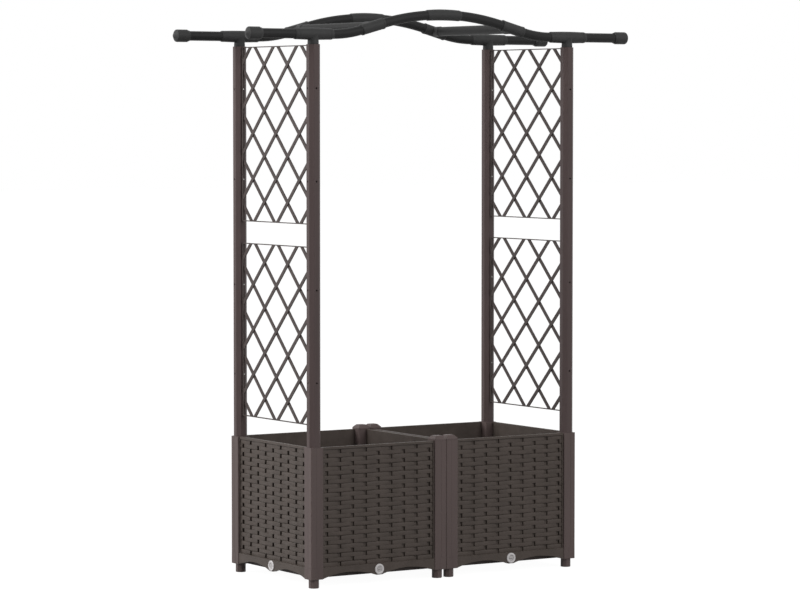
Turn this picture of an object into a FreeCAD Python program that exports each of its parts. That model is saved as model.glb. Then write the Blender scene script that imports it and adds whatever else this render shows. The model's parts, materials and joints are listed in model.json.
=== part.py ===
import FreeCAD, Part
import math
import os
import re
import Sketcher

# Planter with trellis, in millimetres: two square woven-look boxes stand side by side, eight-sided
# posts rise from the four outer corners, diamond lattices fill both ends, and two tube arches with
# two cross bars join the posts at the top. +X runs along the front, +Y to the back and +Z up. The
# origin lies on the floor under the middle. Each piece is built once, about the middle of one box
# or of the whole, and then set in its places.

DRIVING = {
    # boxes
    "unit_side": 400, "box_top": 351, "foot_height": 22.4, "foot_across": 24.5, "foot_plug": 28,
    "plug_wall": 3, "corner_size": 35, "corner_chamfer": 1.5, "web_thick": 3, "web_hole": 12,
    "post_seat": 101, "seam_width": 0.8, "seam_depth": 0.4, "seam_offset": 15,
    "seam_low_offset": 19.5, "cap_rise": 12, "cap_edge": 4, "cap_land": 19, "cap_plug": 20,
    # woven panels, with depths counted inwards from the outer face of the corner posts
    "weave_inset": 6.5, "row_bulge": 2.6, "row_setback": 1.2, "gap_depth": 4.5, "gap_width": 7,
    "gap_land": 1, "plate_thick": 2, "row_count": 27, "stake_count": 9, "stake_margin": 14,
    "top_rail": 6, "rail_width": 3, "rail_inset": 4.5, "apron_inset": 2, "apron_top": 51.5,
    "scallop_rise": 13.4, "scallop_span": 158, "scallop_offset": 87, "tongue_inset": 5.6,
    "tongue_thick": 2.4, "tongue_depth": 3, "panel_play": 0.2, "groove_floor": 4,
    # tray, soil floor and drains
    "ledge_reach": 6, "ledge_thick": 2.4, "ledge_top": 49.8, "ledge_inset": 15, "tray_play": 0.5,
    "tray_wall": 2, "tray_base": 24.5, "rim_thick": 2, "outlet_height": 36.7, "outlet_dia": 19.6,
    "outlet_bore": 16, "outlet_length": 22.5, "outlet_play": 0.2, "flange_dia": 26.5,
    "flange_thick": 2, "collar_dia": 24, "stopper_recess": 1.2, "stopper_length": 12,
    "stopper_fit": 0.05, "stopper_face": 2, "stopper_wall": 2, "grip_width": 2.4,
    "grip_length": 9, "grip_rise": 1, "soil_thick": 2.5, "soil_hole": 8, "soil_pitch": 50,
    "hole_rows": 6, "soil_leg": 16, "leg_offset": 100,
    # posts and lattices
    "post_across": 32, "post_wall": 2.5, "post_top": 1349, "slide_fit": 0.1, "hole_dia": 4.8,
    "lattice_height": 444, "lattice_drop": 1.5, "lattice_space": 55, "lattice_pitch": 57.5,
    "lattice_play": 0.3, "slat_width": 9.6, "slat_thick": 2.5, "stile_width": 5, "stile_thick": 6,
    "rail_thick": 2.4, "screw_dia": 3, "screw_fit": 0.05, "screw_head": 4.4, "head_thick": 2,
    "screw_bite": 4.4,
    # arches
    "leg_height": 25.5, "leg_dia": 28, "spigot_length": 40, "spigot_bore": 20, "tee_length": 110,
    "tee_end": 28, "tee_middle": 29.5, "ring_rise": 0.6, "ring_width": 6, "tube_dia": 24.2,
    "tube_wall": 1.5, "tube_fit": 0.1, "stop_half": 8, "arm_overhang": 175, "cap_length": 45,
    "cap_dia": 31.5, "tip_length": 9.4, "tip_dia": 5, "cap_socket": 34, "cap_bevel": 2,
    "bend_angle": 15, "bend_radius": 325, "elbow_length": 68, "elbow_dia": 27.5,
    "stop_width": 12, "boss_dia": 26.6, "boss_reach": 32, "boss_floor": 14, "apex_length": 100,
    "apex_dia": 27.4, "crown_gap": 0.6,
}

doc = FreeCAD.newDocument("PlanterWithTrellis")
sheet = doc.addObject("Spreadsheet::Sheet", "Sizes")
for row, (alias, number) in enumerate(DRIVING.items(), start=1):
    sheet.set(f"A{row}", alias)
    sheet.set(f"B{row}", str(number))
    sheet.setAlias(f"B{row}", alias)
doc.recompute()

# Lengths that several pieces share, worked out from the sheet
HALF = "(unit_side / 2)"
AXIS = "((unit_side - corner_size) / 2)"        # post axis from the middle of its box
POST_X = "(unit_side - corner_size / 2)"        # post axis from the middle of the whole
PANEL_HALF = "(unit_side / 2 - corner_size)"    # half the clear width between corner posts
BORE = "(post_across + 2 * slide_fit)"
WEB_TOP = "(foot_height + foot_plug + web_thick)"
POST_FOOT = "(box_top - post_seat)"
PANEL_BACK = "(weave_inset + gap_depth + plate_thick)"
TRAY_HALF = f"({HALF} - {PANEL_BACK} - ledge_reach - tray_play)"
RIM_HALF = f"({HALF} - {PANEL_BACK} - tray_play)"
NOTCH = f"({PANEL_HALF} - tray_play)"
RIM_TOP = "(ledge_top + rim_thick)"
OUTLET_HOLE = "(outlet_dia + 2 * outlet_play)"
STOPPER = "(outlet_bore - 2 * stopper_fit)"
UPPER = "(post_top - lattice_drop - lattice_height / 2)"
LOWER = f"({UPPER} - lattice_height - lattice_space)"
LATTICE_HALF = f"({AXIS} - post_across / 2 - lattice_play)"
TEE_Z = "(post_top + leg_height)"
SOCKET = "(tube_dia + 2 * tube_fit)"
TUBE_BORE = "(tube_dia - 2 * tube_wall)"
BEND_X = f"({POST_X} - tee_length / 2)"         # where the bend leaves the tee
ELBOW_X = f"({BEND_X} - bend_radius * sin(bend_angle) - elbow_length / 2 * cos(bend_angle))"
ELBOW_Z = f"({TEE_Z} + bend_radius * (1 - cos(bend_angle)) + elbow_length / 2 * sin(bend_angle))"
CROWN_R = f"(({ELBOW_X} - elbow_length / 2 * cos(bend_angle)) / sin(bend_angle))"
CROWN_Z = (f"({ELBOW_Z} + elbow_length / 2 * sin(bend_angle)"
           f" + {CROWN_R} * (1 - cos(bend_angle)))")
TEE_GRIP = "(tee_length / 2 - stop_half)"       # how far a tube reaches into a tee
ELBOW_GRIP = "((elbow_length - stop_width) / 2)"

TO_X = FreeCAD.Rotation(FreeCAD.Vector(0, 1, 0), 90)
TO_Y = FreeCAD.Rotation(FreeCAD.Vector(1, 0, 0), -90)
INTO_XZ = FreeCAD.Rotation(FreeCAD.Vector(1, 0, 0), 90)
ABOUT_Z = FreeCAD.Vector(0, 0, 1)
ORIGIN = ("0", "0", "0")
HALF_TURN = 180


def size(alias):
    """A driving dimension as a plain number."""
    return float(getattr(sheet, alias))


def bind(item, prop, text):
    """Bind a property to an expression in which size names stand alone."""
    item.setExpression(prop, re.sub(r"\b[a-z]+(_[a-z]+)+\b", r"Sizes.\g<0>", text))


def place(item, at, turn=None):
    item.Placement = FreeCAD.Placement(FreeCAD.Vector(), turn or FreeCAD.Rotation())
    for axis, text in zip("xyz", at):
        bind(item, f"Placement.Base.{axis}", text)
    return item


def tilted(item, at, angle):
    """Turn an item about Y by a bound angle, which lifts what points along +X when negative."""
    turn = FreeCAD.Rotation(FreeCAD.Vector(0, 1, 0), 1)
    place(item, at, turn)
    bind(item, "Placement.Rotation.Angle", angle)
    return item


def block(name, x, y, z, turn=None):
    """A box from its lower to its upper bound on each axis."""
    item = doc.addObject("Part::Box", name)
    for side, (low, high) in zip(("Length", "Width", "Height"), (x, y, z)):
        bind(item, side, f"({high}) - ({low})")
    return place(item, (x[0], y[0], z[0]), turn)


def rod(name, dia, length, at=ORIGIN, turn=None):
    item = doc.addObject("Part::Cylinder", name)
    bind(item, "Radius", f"({dia}) / 2")
    bind(item, "Height", length)
    return place(item, at, turn)


def cone(name, dia, far_dia, length, at=ORIGIN, turn=None):
    item = doc.addObject("Part::Cone", name)
    bind(item, "Radius1", f"({dia}) / 2")
    bind(item, "Radius2", f"({far_dia}) / 2")
    bind(item, "Height", length)
    return place(item, at, turn)


def octagon(name, across, low, high):
    """An upright eight-sided prism whose flats face X and Y."""
    item = doc.addObject("Part::Prism", name)
    item.Polygon = 8
    bind(item, "Circumradius", f"({across}) / 2 / cos(22.5)")
    bind(item, "Height", f"({high}) - ({low})")
    return place(item, ("0", "0", low), FreeCAD.Rotation(ABOUT_Z, 22.5))


def bent_bar(name, radius, dia, sweep, at, start):
    """A round bar bent in the XZ plane about a centre, from a start angle through a sweep."""
    item = doc.addObject("Part::Torus", name)
    bind(item, "Radius1", radius)
    bind(item, "Radius2", f"({dia}) / 2")
    bind(item, "Angle3", sweep)
    return place(item, at, INTO_XZ * FreeCAD.Rotation(ABOUT_Z, start))


def fuse(name, *pieces):
    item = doc.addObject("Part::MultiFuse", name)
    item.Shapes = list(pieces)
    return item


def cut(name, base, *tools):
    item = doc.addObject("Part::Cut", name)
    item.Base = base
    item.Tool = tools[0] if len(tools) == 1 else fuse(f"{name}_tools", *tools)
    return item


def common(name, base, tool):
    item = doc.addObject("Part::Common", name)
    item.Base = base
    item.Tool = tool
    return item


def mirrored(name, source, normal):
    item = doc.addObject("Part::Mirroring", name)
    item.Source = source
    item.Normal = FreeCAD.Vector(*normal)
    return item


def copied(name, source, at=ORIGIN, angle=0):
    """A copy of a piece, turned about Z and then moved."""
    item = doc.addObject("App::Link", name)
    item.LinkedObject = source
    item.LinkTransform = True
    return place(item, at, FreeCAD.Rotation(ABOUT_Z, angle))


def group(name, members):
    item = doc.addObject("Part::Compound", name)
    item.Links = members
    return item


def outline(body, name, role, corners):
    """A closed sketch on one of a body's own planes, each corner bound to two expressions."""
    sketch = body.newObject("Sketcher::SketchObject", name)
    plane = next(item for item in body.Origin.OriginFeatures if item.Role == role)
    sketch.AttachmentSupport = [(plane, "")]
    sketch.MapMode = "FlatFace"
    step = 2 * math.pi / len(corners)
    spots = [FreeCAD.Vector(math.cos(step * k), math.sin(step * k), 0) for k in range(len(corners))]
    for k, spot in enumerate(spots):
        sketch.addGeometry(Part.LineSegment(spot, spots[(k + 1) % len(spots)]), False)
    for k in range(len(corners)):
        sketch.addConstraint(Sketcher.Constraint("Coincident", k, 2, (k + 1) % len(corners), 1))
    for k, corner in enumerate(corners):
        for kind, text in zip(("DistanceX", "DistanceY"), corner):
            number = sketch.addConstraint(Sketcher.Constraint(kind, -1, 1, k, 1, 1.0))
            bind(sketch, f"Constraints[{number}]", text)
    return sketch


nodes = []


def subpart(item, label):
    """Name an item as a sub-part of its own."""
    item.Label = label
    nodes.append(item)
    return item


# The two boxes, by the side that each stands on, with the middle of each
BOXES = (("left", f"-{HALF}"), ("right", HALF))
# The corners and sides of a box, by their turn about its middle from the first one
CORNERS = (("front_left", 0), ("front_right", 90), ("back_right", 180), ("back_left", 270))
SIDES = (("front", 0), ("right", 90), ("back", 180), ("left", 270))


# Corner post: a chamfered square tube with a stop over the foot, a stop under the tall post, on
# each inner side a groove for a panel's tongue, and shallow seams on its two outer faces: one up
# each face, one around the corner at the apron's top and one more below it.
def corner_post():
    half = "corner_size / 2"
    rise = ("foot_height", "box_top")
    square = block("corner_square", (f"-{half}", half), (f"-{half}", half), rise)
    flat = "(corner_size - corner_chamfer)"
    diamond = block("corner_diamond", ("0", f"{flat} * sqrt(2)"),
                    (f"-{flat}", f"{flat} * (sqrt(2) - 1)"), rise,
                    FreeCAD.Rotation(ABOUT_Z, 45))
    bores = [octagon("corner_bore_low", BORE, "foot_height", f"{WEB_TOP} - web_thick"),
             octagon("corner_bore_middle", BORE, WEB_TOP, f"{POST_FOOT} - web_thick"),
             octagon("corner_bore_high", BORE, POST_FOOT, "box_top")]
    drain = rod("corner_drain", "web_hole", "box_top")
    near = f"-{half} + tongue_inset - panel_play"
    far = f"-{half} + tongue_inset + tongue_thick + panel_play"
    reach = (f"{half} - tongue_depth - panel_play", f"{half} + 1")
    slot = ("foot_height + groove_floor", "box_top")
    grooves = [block("groove_front", reach, (near, far), slot),
               block("groove_side", (near, far), reach, slot)]
    skin = (f"-{half} - 1", f"-{half} + seam_depth")
    seams = []
    for name, offset, span in (("high", "seam_offset", ("apron_top", "box_top")),
                               ("low", "seam_low_offset", ("foot_height", "apron_top"))):
        line = (f"-{half} + {offset} - seam_width / 2", f"-{half} + {offset} + seam_width / 2")
        seams.append(block(f"seam_{name}_front", line, skin, span))
        seams.append(block(f"seam_{name}_side", skin, line, span))
    ring = ("apron_top - seam_width / 2", "apron_top + seam_width / 2")
    round_to = (f"-{half} - 1", f"-{half} + seam_low_offset")
    seams.append(block("seam_ring_front", round_to, skin, ring))
    seams.append(block("seam_ring_side", skin, round_to, ring))
    post = cut("corner_post", common("corner_body", square, diamond), *bores, drain, *grooves,
               *seams)
    return place(post, (f"-{AXIS}", f"-{AXIS}", "0"))


# Foot: an eight-sided peg that plugs into the bottom of a corner post, hollow from above
def foot():
    peg = octagon("foot_peg", "foot_across", "0", "foot_height")
    plug = octagon("foot_plug_body", "post_across", "foot_height", "foot_height + foot_plug")
    hollow = rod("foot_hollow", "foot_across - 2 * plug_wall", "foot_height + foot_plug",
                 ("0", "0", "plug_wall"))
    return place(cut("foot", fuse("foot_solid", peg, plug), hollow), (f"-{AXIS}", f"-{AXIS}", "0"))


# Corner cap: closes a corner post that carries no tall post, with a low four-sided top
def corner_cap():
    half = "corner_size / 2"
    land = "cap_land / 2"
    top = doc.addObject("Part::Wedge", "cap_top")
    for prop, text in (("Xmin", f"-{half}"), ("Xmax", half), ("Zmin", f"-{half}"), ("Zmax", half),
                       ("X2min", f"-{land}"), ("X2max", land), ("Z2min", f"-{land}"),
                       ("Z2max", land), ("Ymin", "0"), ("Ymax", "cap_rise - cap_edge")):
        bind(top, prop, text)
    place(top, ("0", "0", "box_top + cap_edge"), INTO_XZ)
    edge = block("cap_edge_block", (f"-{half}", half), (f"-{half}", half),
                 ("box_top", "box_top + cap_edge"))
    flat = "(corner_size - corner_chamfer)"
    diamond = block("cap_diamond", ("0", f"{flat} * sqrt(2)"),
                    (f"-{flat}", f"{flat} * (sqrt(2) - 1)"), ("box_top", "box_top + cap_rise"),
                    FreeCAD.Rotation(ABOUT_Z, 45))
    plug = octagon("cap_plug_body", "post_across", "box_top - cap_plug", "box_top")
    hollow = rod("cap_hollow", "post_across - 2 * plug_wall", "cap_plug",
                 ("0", "0", "box_top - cap_plug"))
    shell = fuse("cap_solid", common("cap_head", fuse("cap_square", edge, top), diamond), plug)
    return place(cut("corner_cap", shell, hollow), (f"-{AXIS}", f"-{AXIS}", "0"))


# Woven panel: a plate whose rows swell, every other row standing a little back, with a recess
# where a strand dips behind a stake. Its frame has a top rail, a plain apron with two scallops that
# stands further out, a tongue down each side and a ledge inside. It is the front of a box.
def woven_panel():
    half = size("unit_side") / 2
    clear_half = half - size("corner_size") - size("panel_play")
    low = size("foot_height")
    high = size("box_top")
    apron_top = size("apron_top")
    weave_top = high - size("top_rail")
    row_pitch = (weave_top - apron_top) / size("row_count")
    crest = size("weave_inset")
    plate_face = crest + size("gap_depth")
    back = plate_face + size("plate_thick")
    rail_face = size("rail_inset")
    apron_face = size("apron_inset")

    def slab(x_from, x_to, depth_from, depth_to, z_from, z_to):
        corner = FreeCAD.Vector(x_from, depth_from - half, z_from)
        return Part.makeBox(x_to - x_from, depth_to - depth_from, z_to - z_from, corner)

    def spot(depth, z):
        return FreeCAD.Vector(-clear_half, depth - half, z)

    valley = crest + size("row_bulge")
    edges = [Part.makeLine(spot(valley, weave_top), spot(back, weave_top)),
             Part.makeLine(spot(back, weave_top), spot(back, apron_top)),
             Part.makeLine(spot(back, apron_top), spot(valley, apron_top))]
    for row in range(int(size("row_count"))):
        foot_z = apron_top + row * row_pitch
        row_crest = crest if row % 2 else crest + size("row_setback")
        swell = Part.Arc(spot(valley, foot_z), spot(row_crest, foot_z + row_pitch / 2),
                         spot(valley, foot_z + row_pitch))
        edges.append(swell.toShape())
    profile = Part.Face(Part.Wire(Part.__sortEdges__(edges)))
    rows = profile.extrude(FreeCAD.Vector(2 * clear_half, 0, 0))

    stakes = int(size("stake_count"))
    stake_span = 2 * (half - size("corner_size") - size("stake_margin"))
    recesses = []
    for stake in range(stakes):
        middle = stake_span * (stake / (stakes - 1) - 0.5)
        for row in range((stake + 1) % 2, int(size("row_count")), 2):
            foot_z = apron_top + row * row_pitch + size("gap_land")
            recesses.append(slab(middle - size("gap_width") / 2, middle + size("gap_width") / 2,
                                 crest - 1, plate_face, foot_z,
                                 foot_z + row_pitch - 2 * size("gap_land")))
    weave = rows.cut(Part.makeCompound(recesses))

    tongue_low = low + size("groove_floor")
    tongue_near = size("tongue_inset")
    tongue_far = tongue_near + size("tongue_thick")
    rail = size("rail_width")
    depth = size("tongue_depth")
    ledge_half = clear_half - size("ledge_inset")
    ledge_low = size("ledge_top") - size("ledge_thick")
    frame_parts = [
        slab(-clear_half, clear_half, rail_face, back, weave_top, high),
        slab(-clear_half, clear_half, apron_face, back, low, apron_top),
        slab(-clear_half, rail - clear_half, rail_face, back, low, high),
        slab(clear_half - rail, clear_half, rail_face, back, low, high),
        slab(-clear_half - depth, rail - clear_half, tongue_near, tongue_far, tongue_low, high),
        slab(clear_half - rail, clear_half + depth, tongue_near, tongue_far, tongue_low, high),
        slab(-ledge_half, ledge_half, back - 1, back + size("ledge_reach"), ledge_low,
             size("ledge_top")),
    ]
    panel = weave.fuse(frame_parts)

    rise = size("scallop_rise")
    radius = (size("scallop_span") ** 2 / 4 + rise ** 2) / (2 * rise)
    along_y = FreeCAD.Vector(0, 1, 0)
    holes = [Part.makeCylinder(radius, 2 * back, FreeCAD.Vector(x, -half - 1, low + rise - radius),
                               along_y)
             for x in (-size("scallop_offset"), size("scallop_offset"))]
    holes.append(Part.makeCylinder(size("outlet_dia") / 2 + size("outlet_play"), 2 * back,
                                   FreeCAD.Vector(0, -half - 1, size("outlet_height")), along_y))
    item = doc.addObject("Part::Feature", "woven_panel")
    item.Shape = panel.cut(Part.makeCompound(holes)).removeSplitter().Solids[0]
    return item


# A square with its four corners cut away square, which clears the corner posts
def cross(name, half, arm, low, high):
    wide = block(f"{name}_wide", (f"-{half}", half), (f"-{arm}", arm), (low, high))
    deep = block(f"{name}_deep", (f"-{arm}", arm), (f"-{half}", half), (low, high))
    return fuse(name, wide, deep)


# Tray: hangs by its rim on the panels' ledges and has a hole for an outlet in each side
def tray():
    arm = f"({NOTCH} - tray_wall)"
    shell = cross("tray_shell", TRAY_HALF, NOTCH, "tray_base", RIM_TOP)
    rim = cross("tray_rim", RIM_HALF, NOTCH, "ledge_top", RIM_TOP)
    inside = cross("tray_inside", f"({TRAY_HALF} - tray_wall)", arm, "tray_base + tray_wall",
                   f"{RIM_TOP} + 1")
    span = f"2 * {HALF}"
    holes = [rod("tray_holes_x", OUTLET_HOLE, span, (f"-{HALF}", "0", "outlet_height"), TO_X),
             rod("tray_holes_y", OUTLET_HOLE, span, ("0", f"-{HALF}", "outlet_height"), TO_Y)]
    return cut("tray", fuse("tray_body", shell, rim), inside, *holes)


# Soil floor: a perforated plate that lies on the tray's rim, with four legs down to its base
def soil_floor():
    body = doc.addObject("PartDesign::Body", "soil_floor")
    near, far = NOTCH, RIM_HALF
    corners = [(far, f"-{near}"), (far, near), (near, near), (near, far), (f"-{near}", far),
               (f"-{near}", near), (f"-{far}", near), (f"-{far}", f"-{near}"),
               (f"-{near}", f"-{near}"), (f"-{near}", f"-{far}"), (near, f"-{far}"),
               (near, f"-{near}")]
    plate = body.newObject("PartDesign::Pad", "soil_plate")
    plate.Profile = outline(body, "soil_outline", "XY_Plane", corners)
    bind(plate, "Length", "soil_thick")
    legs = body.newObject("Sketcher::SketchObject", "soil_leg_sketch")
    plane = next(item for item in body.Origin.OriginFeatures if item.Role == "XY_Plane")
    legs.AttachmentSupport = [(plane, "")]
    legs.MapMode = "FlatFace"
    for k, (x_sign, y_sign) in enumerate(((1, 1), (-1, 1), (-1, -1), (1, -1))):
        middle = FreeCAD.Vector(x_sign, y_sign, 0)
        legs.addGeometry(Part.Circle(middle, ABOUT_Z, 0.25), False)
        for kind, sign in (("DistanceX", x_sign), ("DistanceY", y_sign)):
            number = legs.addConstraint(Sketcher.Constraint(kind, -1, 1, k, 3, float(sign)))
            bind(legs, f"Constraints[{number}]", f"{sign} * leg_offset")
        number = legs.addConstraint(Sketcher.Constraint("Diameter", k, 0.5))
        bind(legs, f"Constraints[{number}]", "soil_leg")
    down = body.newObject("PartDesign::Pad", "soil_legs")
    down.Profile = legs
    down.Reversed = True
    bind(down, "Length", f"{RIM_TOP} - tray_base - tray_wall")
    hole_sketch = body.newObject("Sketcher::SketchObject", "soil_hole_sketch")
    hole_sketch.AttachmentSupport = [(plane, "")]
    hole_sketch.MapMode = "FlatFace"
    hole_sketch.addGeometry(Part.Circle(FreeCAD.Vector(-1, -1, 0), ABOUT_Z, 0.25), False)
    for kind in ("DistanceX", "DistanceY"):
        number = hole_sketch.addConstraint(Sketcher.Constraint(kind, -1, 1, 0, 3, -1.0))
        bind(hole_sketch, f"Constraints[{number}]", "-soil_pitch * (hole_rows - 1) / 2")
    number = hole_sketch.addConstraint(Sketcher.Constraint("Diameter", 0, 0.5))
    bind(hole_sketch, f"Constraints[{number}]", "soil_hole")
    doc.recompute()
    hole = body.newObject("PartDesign::Pocket", "soil_hole_cut")
    hole.Profile = hole_sketch
    hole.Reversed = True
    bind(hole, "Length", "soil_thick")
    doc.recompute()
    grid = body.newObject("PartDesign::MultiTransform", "soil_hole_grid")
    grid.Originals = [hole]
    axes = {item.Role: item for item in body.Origin.OriginFeatures}
    rows = []
    for role in ("X_Axis", "Y_Axis"):
        line = body.newObject("PartDesign::LinearPattern", f"soil_holes_{role[0].lower()}")
        line.Direction = (axes[role], [""])
        bind(line, "Length", "soil_pitch * (hole_rows - 1)")
        bind(line, "Occurrences", "hole_rows")
        rows.append(line)
    grid.Transformations = rows
    body.Tip = grid
    return place(body, ("0", "0", RIM_TOP))


# Outlet: a flanged tube pushed in from outside through the apron and the tray's wall
def outlet():
    face = f"-{HALF} + apron_inset"
    flange = rod("outlet_flange", "flange_dia", "flange_thick",
                 ("0", f"{face} - flange_thick", "outlet_height"), TO_Y)
    tube = rod("outlet_tube", "outlet_dia", "outlet_length", ("0", face, "outlet_height"), TO_Y)
    bore = rod("outlet_bore_cut", "outlet_bore", "outlet_length + flange_thick + 2",
               ("0", f"{face} - flange_thick - 1", "outlet_height"), TO_Y)
    return cut("outlet", fuse("outlet_solid", flange, tube), bore)


# Stopper: a hollow plug inside the outlet, its face set back from the flange, with a grip bar
def stopper():
    front = f"(-{HALF} + apron_inset - flange_thick + stopper_recess)"
    plug = rod("stopper_plug", STOPPER, "stopper_length", ("0", front, "outlet_height"), TO_Y)
    hollow = rod("stopper_hollow", f"{STOPPER} - 2 * stopper_wall", "stopper_length",
                 ("0", f"{front} + stopper_face", "outlet_height"), TO_Y)
    grip = block("stopper_grip", ("-grip_length / 2", "grip_length / 2"),
                 (f"{front} - grip_rise", f"{front} + stopper_face / 2"),
                 ("outlet_height - grip_width / 2", "outlet_height + grip_width / 2"))
    return fuse("stopper", cut("stopper_cup", plug, hollow), grip)


# Link tube: joins the two trays through the two panels that stand back to back
def link_tube():
    reach = "(apron_inset + outlet_length)"
    tube = rod("link_tube_body", "outlet_dia", f"2 * {reach}", (f"-{reach}", "0", "outlet_height"),
               TO_X)
    collar = rod("link_collar", "collar_dia", "2 * apron_inset",
                 ("-apron_inset", "0", "outlet_height"), TO_X)
    bore = rod("link_bore", "outlet_bore", f"2 * {reach} + 2",
               (f"-{reach} - 1", "0", "outlet_height"), TO_X)
    return cut("link_tube", fuse("link_solid", tube, collar), bore)


# Tall post: an eight-sided tube with screw holes in its front and outer faces, and behind each
# front hole a smaller one through which a screw holds the lattice. It stands about its own axis.
SCREW_LEVELS = [f"{middle} {sign} 2 * lattice_pitch" for middle in (LOWER, UPPER) for sign in "-+"]


def tall_post():
    shell = cut("post_shell", octagon("post_outer", "post_across", POST_FOOT, "post_top"),
                octagon("post_inner", "post_across - 2 * post_wall", f"{POST_FOOT} - 1",
                        "post_top + 1"))
    holes = []
    for number, level in enumerate(SCREW_LEVELS, start=1):
        holes.append(rod(f"post_front_hole_{number}", "hole_dia", "post_across",
                         ("0", "-post_across", level), TO_Y))
        holes.append(rod(f"post_side_hole_{number}", "hole_dia", "post_across",
                         ("-post_across", "0", level), TO_X))
        holes.append(rod(f"post_screw_hole_{number}", "screw_dia + 2 * screw_fit", "post_across",
                         ("0", "0", level), TO_Y))
    return place(cut("tall_post", shell, *holes), (f"-{POST_X}", f"-{AXIS}", "0"))


# Lattice: two layers of slats that cross at right angles, between two stiles and two thin rails.
# It is built about its own middle.
def lattice():
    half_height = "(lattice_height / 2)"
    across = size("lattice_height") / 2 + (size("unit_side") - size("corner_size")) / 2
    steps = int(across / (2 * size("lattice_pitch")))
    layers = []
    for name, angle, layer in (("rising", 45, ("-slat_thick", "0")),
                               ("falling", -45, ("0", "slat_thick"))):
        slats = []
        for step in range(-steps, steps + 1):
            middle = f"{step} * lattice_pitch * sqrt(2)"
            slats.append(block(f"{name}_slat_{step + steps + 1}", layer,
                               (f"{middle} - slat_width / 2", f"{middle} + slat_width / 2"),
                               ("-lattice_height", "lattice_height")))
        turned = place(group(f"{name}_slats", slats), ORIGIN,
                       FreeCAD.Rotation(FreeCAD.Vector(1, 0, 0), angle))
        window = block(f"{name}_window", layer, (f"-{LATTICE_HALF}", LATTICE_HALF),
                       (f"-{half_height}", half_height))
        layers.append(common(f"{name}_layer", turned, window))
    stiles = []
    for side, low, high in (("front", f"-{LATTICE_HALF}", f"-{LATTICE_HALF} + stile_width"),
                            ("back", f"{LATTICE_HALF} - stile_width", LATTICE_HALF)):
        stiles.append(block(f"stile_{side}", ("-stile_thick / 2", "stile_thick / 2"), (low, high),
                            (f"-{half_height}", half_height)))
    rails = [block("rail_low", ("-slat_thick", "slat_thick"), (f"-{LATTICE_HALF}", LATTICE_HALF),
                   (f"-{half_height}", f"-{half_height} + rail_thick")),
             block("rail_high", ("-slat_thick", "slat_thick"), (f"-{LATTICE_HALF}", LATTICE_HALF),
                   (f"{half_height} - rail_thick", half_height))]
    pilots = [rod(f"pilot_{name}", "screw_dia + 2 * screw_fit", f"2 * {AXIS}",
                  ("0", f"-{AXIS}", f"{sign}2 * lattice_pitch"), TO_Y)
              for name, sign in (("low", "-"), ("high", ""))]
    # the pilot holes go through the stiles alone
    stile_pair = cut("stiles", fuse("stile_pair", *stiles), *pilots)
    return fuse("lattice", *layers, stile_pair, *rails)


# Screw: goes in through a front hole, clamps the post's inner wall and bites into a lattice stile
def screw(name, level):
    wall = "(post_across / 2 - post_wall)"
    head = rod(f"{name}_head", "screw_head", "head_thick", ("0", f"{wall} - head_thick", level), TO_Y)
    shank = rod(f"{name}_shank", "screw_dia", "post_wall + lattice_play + screw_bite",
                ("0", wall, level), TO_Y)
    return place(fuse(name, head, shank), (f"-{POST_X}", f"-{AXIS}", "0"))


# Tee: a leg that plugs into a post, under a level sleeve that swells towards its middle and ends
# in two rings. It is built with the post's axis as its own.
def tee():
    half = "(tee_length / 2)"
    swell = f"({half} - ring_width)"
    pieces = [
        cone("tee_swell_left", "tee_end", "tee_middle", swell, (f"-{swell}", "0", TEE_Z), TO_X),
        cone("tee_swell_right", "tee_middle", "tee_end", swell, ("0", "0", TEE_Z), TO_X),
        rod("tee_ring_left", "tee_end + ring_rise", "ring_width", (f"-{half}", "0", TEE_Z), TO_X),
        rod("tee_ring_right", "tee_end + ring_rise", "ring_width", (swell, "0", TEE_Z), TO_X),
        rod("tee_leg", "leg_dia", "leg_height", ("0", "0", "post_top")),
        rod("tee_spigot", "post_across - 2 * post_wall - 2 * slide_fit", "spigot_length",
            ("0", "0", "post_top - spigot_length")),
    ]
    bores = [rod("tee_bore_left", SOCKET, TEE_GRIP, (f"-{half}", "0", TEE_Z), TO_X),
             rod("tee_bore_right", SOCKET, TEE_GRIP, ("stop_half", "0", TEE_Z), TO_X),
             rod("tee_leg_bore", "spigot_bore", "spigot_length + leg_height / 2",
                 ("0", "0", "post_top - spigot_length"))]
    return cut("tee", fuse("tee_solid", *pieces), *bores)


# Arm: a straight tube from the stop in a right-hand tee out into its end cap
def arm():
    start = f"({POST_X} + stop_half)"
    length = f"unit_side + arm_overhang - cap_length + cap_socket - {start}"
    return cut("arm", rod("arm_outer", "tube_dia", length, (start, "0", TEE_Z), TO_X),
               rod("arm_inner", TUBE_BORE, f"{length} + 2", (f"{start} - 1", "0", TEE_Z), TO_X))


# End cap: turned about the arm's axis, with a bevelled mouth and a blunt cone at its tip
def end_cap():
    body = doc.addObject("PartDesign::Body", "end_cap")
    mouth = "(unit_side + arm_overhang - cap_length)"
    tip = "(unit_side + arm_overhang)"
    profile = [(mouth, f"{SOCKET} / 2"), (mouth, "cap_dia / 2 - cap_bevel / 2"),
               (f"{mouth} + cap_bevel", "cap_dia / 2"), (f"{tip} - tip_length", "cap_dia / 2"),
               (tip, "tip_dia / 2"), (tip, "0"), (f"{mouth} + cap_socket", "0"),
               (f"{mouth} + cap_socket", f"{SOCKET} / 2")]
    sketch = outline(body, "end_cap_profile", "XZ_Plane", profile)
    turned = body.newObject("PartDesign::Revolution", "end_cap_turned")
    turned.Profile = sketch
    turned.ReferenceAxis = (sketch, ["H_Axis"])
    turned.Angle = 360
    return place(body, ("0", "0", TEE_Z))


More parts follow.
